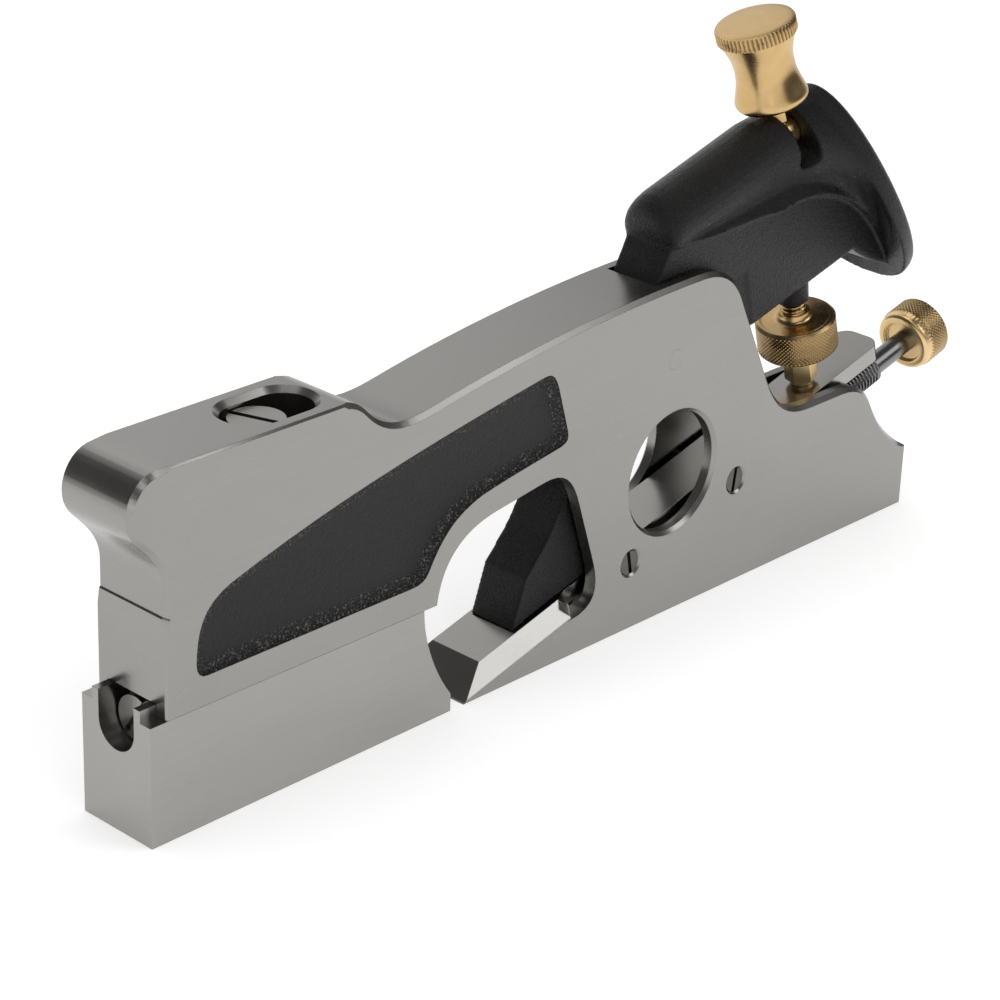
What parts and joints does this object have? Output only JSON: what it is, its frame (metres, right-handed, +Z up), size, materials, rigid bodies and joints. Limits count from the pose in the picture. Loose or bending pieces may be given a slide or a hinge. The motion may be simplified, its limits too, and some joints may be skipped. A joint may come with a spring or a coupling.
{
  "type": "shoulder plane",
  "caption": "Bevel-up shoulder plane with a sliding toe, clamped low-angle blade, combined feed and side adjuster, finger hole and a swinging brass rear knob.",
  "frame": {"origin": "middle of the sole, on its working face", "axes": "+X from the toe to the heel, -Y to the side shown in the picture, +Z up from the sole"},
  "size_m": [0.2307, 0.0296, 0.1142],
  "materials": {
    "body_iron": "fine ground",
    "toe_iron": "fine ground",
    "bright_screw": "turned",
    "dark_screw": "oiled",
    "blade_steel": "lapped",
    "shaft_steel": "turned",
    "black_enamel": "semi-gloss, slightly textured",
    "brass": "satin lacquered"
  },
  "bodies": {
    "plane_body": {"body": "body_iron", "fulcrum_pin": "body_iron"},
    "toe": {"toe": "toe_iron"},
    "toe_lock": {"toe_lock_screw": "bright_screw"},
    "toe_stop": {"toe_stop_screw": "dark_screw"},
    "adjuster_swivel": {"pivot_barrel": "brass"},
    "feed_carriage": {"carriage": "shaft_steel", "drive_pin": "shaft_steel"},
    "adjuster": {"adjuster_shaft": "shaft_steel", "adjuster_knob": "brass", "shaft_clip": "dark_screw"},
    "blade": {"blade": "blade_steel"},
    "lever_cap": {"lever_cap": "black_enamel"},
    "clamp_foot": {"clamp_foot": "brass"},
    "clamp": {"clamp_wheel": "brass", "clamp_screw": "brass"},
    "grip_arm": {"grip_stud": "brass", "grip_nut": "brass"},
    "grip_knob": {"grip_knob": "brass"},
    "set_screw_near_front": {"set_screw_near_front": "dark_screw"},
    "set_screw_near_rear": {"set_screw_near_rear": "dark_screw"},
    "set_screw_far_front": {"set_screw_far_front": "dark_screw"},
    "set_screw_far_rear": {"set_screw_far_rear": "dark_screw"}
  },
  "joints": [
    {"name": "toe_slide", "type": "slide", "parent": "plane_body", "child": "toe", "axis": [1, 0, 0], "range_m": [-0.0006, 0.0028]},
    {"name": "toe_lock_turn", "type": "hinge", "parent": "toe", "child": "toe_lock", "pos_m": [-0.0734, 0, 0.04], "axis": [0, 0, 1], "continuous": true},
    {"name": "toe_stop_turn", "type": "hinge", "parent": "toe", "child": "toe_stop", "pos_m": [-0.095, 0, 0.0202], "axis": [1, 0, 0], "continuous": true},
    {"name": "side_swing", "type": "hinge", "parent": "plane_body", "child": "adjuster_swivel", "pos_m": [0.07597, 0, 0.02216], "axis": [-0.2588, 0, 0.9659], "range_deg": [-1, 1]},
    {"name": "feed", "type": "slide", "parent": "adjuster_swivel", "child": "feed_carriage", "axis": [0.9659, 0, 0.2588], "range_m": [-0.0008, 0.0032]},
    {"name": "feed_turn", "type": "hinge", "parent": "feed_carriage", "child": "adjuster", "pos_m": [0.08756, 0, 0.02526], "axis": [0.9659, 0, 0.2588], "range_deg": [-289, 1153]},
    {"name": "blade_swing", "type": "hinge", "parent": "feed_carriage", "child": "blade", "pos_m": [0.05272, 0, 0.02395], "axis": [-0.2588, 0, 0.9659], "range_deg": [-1.6, 1.6]},
    {"name": "cap_rock", "type": "hinge", "parent": "plane_body", "child": "lever_cap", "pos_m": [0.026, 0, 0.054], "axis": [0, 1, 0], "range_deg": [0, 2.01]},
    {"name": "clamp_travel", "type": "slide", "parent": "lever_cap", "child": "clamp_foot", "axis": [-0.2588, 0, 0.9659], "range_m": [0, 0.00201]},
    {"name": "clamp_turn", "type": "hinge", "parent": "clamp_foot", "child": "clamp", "pos_m": [0.07527, 0, 0.04371], "axis": [-0.2588, 0, 0.9659], "range_deg": [0, 720]},
    {"name": "grip_swing", "type": "hinge", "parent": "lever_cap", "child": "grip_arm", "pos_m": [0.06465, 0, 0.08838], "axis": [0.9588, 0, 0.284], "range_deg": [-53, 67]},
    {"name": "knob_turn", "type": "hinge", "parent": "grip_arm", "child": "grip_knob", "pos_m": [0.06465, 0, 0.08838], "axis": [-0.2819, 0.1219, 0.9517], "continuous": true},
    {"name": "near_front_screw_turn", "type": "hinge", "parent": "plane_body", "child": "set_screw_near_front", "pos_m": [0.01611, 0, 0.01414], "axis": [0, 1, 0], "continuous": true},
    {"name": "near_rear_screw_turn", "type": "hinge", "parent": "plane_body", "child": "set_screw_near_rear", "pos_m": [0.04711, 0, 0.02245], "axis": [0, 1, 0], "continuous": true},
    {"name": "far_front_screw_turn", "type": "hinge", "parent": "plane_body", "child": "set_screw_far_front", "pos_m": [0.01611, 0, 0.01414], "axis": [0, 1, 0], "continuous": true},
    {"name": "far_rear_screw_turn", "type": "hinge", "parent": "plane_body", "child": "set_screw_far_rear", "pos_m": [0.04711, 0, 0.02245], "axis": [0, 1, 0], "continuous": true}
  ],
  "couplings": [
    {"joint": "feed_turn", "follows": "feed", "rad_per_m": 6283.2},
    {"joint": "blade_swing", "follows": "side_swing", "ratio": -1.5789},
    {"joint": "cap_rock", "follows": "clamp_turn", "ratio": 0.0027778},
    {"joint": "clamp_travel", "follows": "clamp_turn", "m_per_rad": 0.00015915}
  ]
}
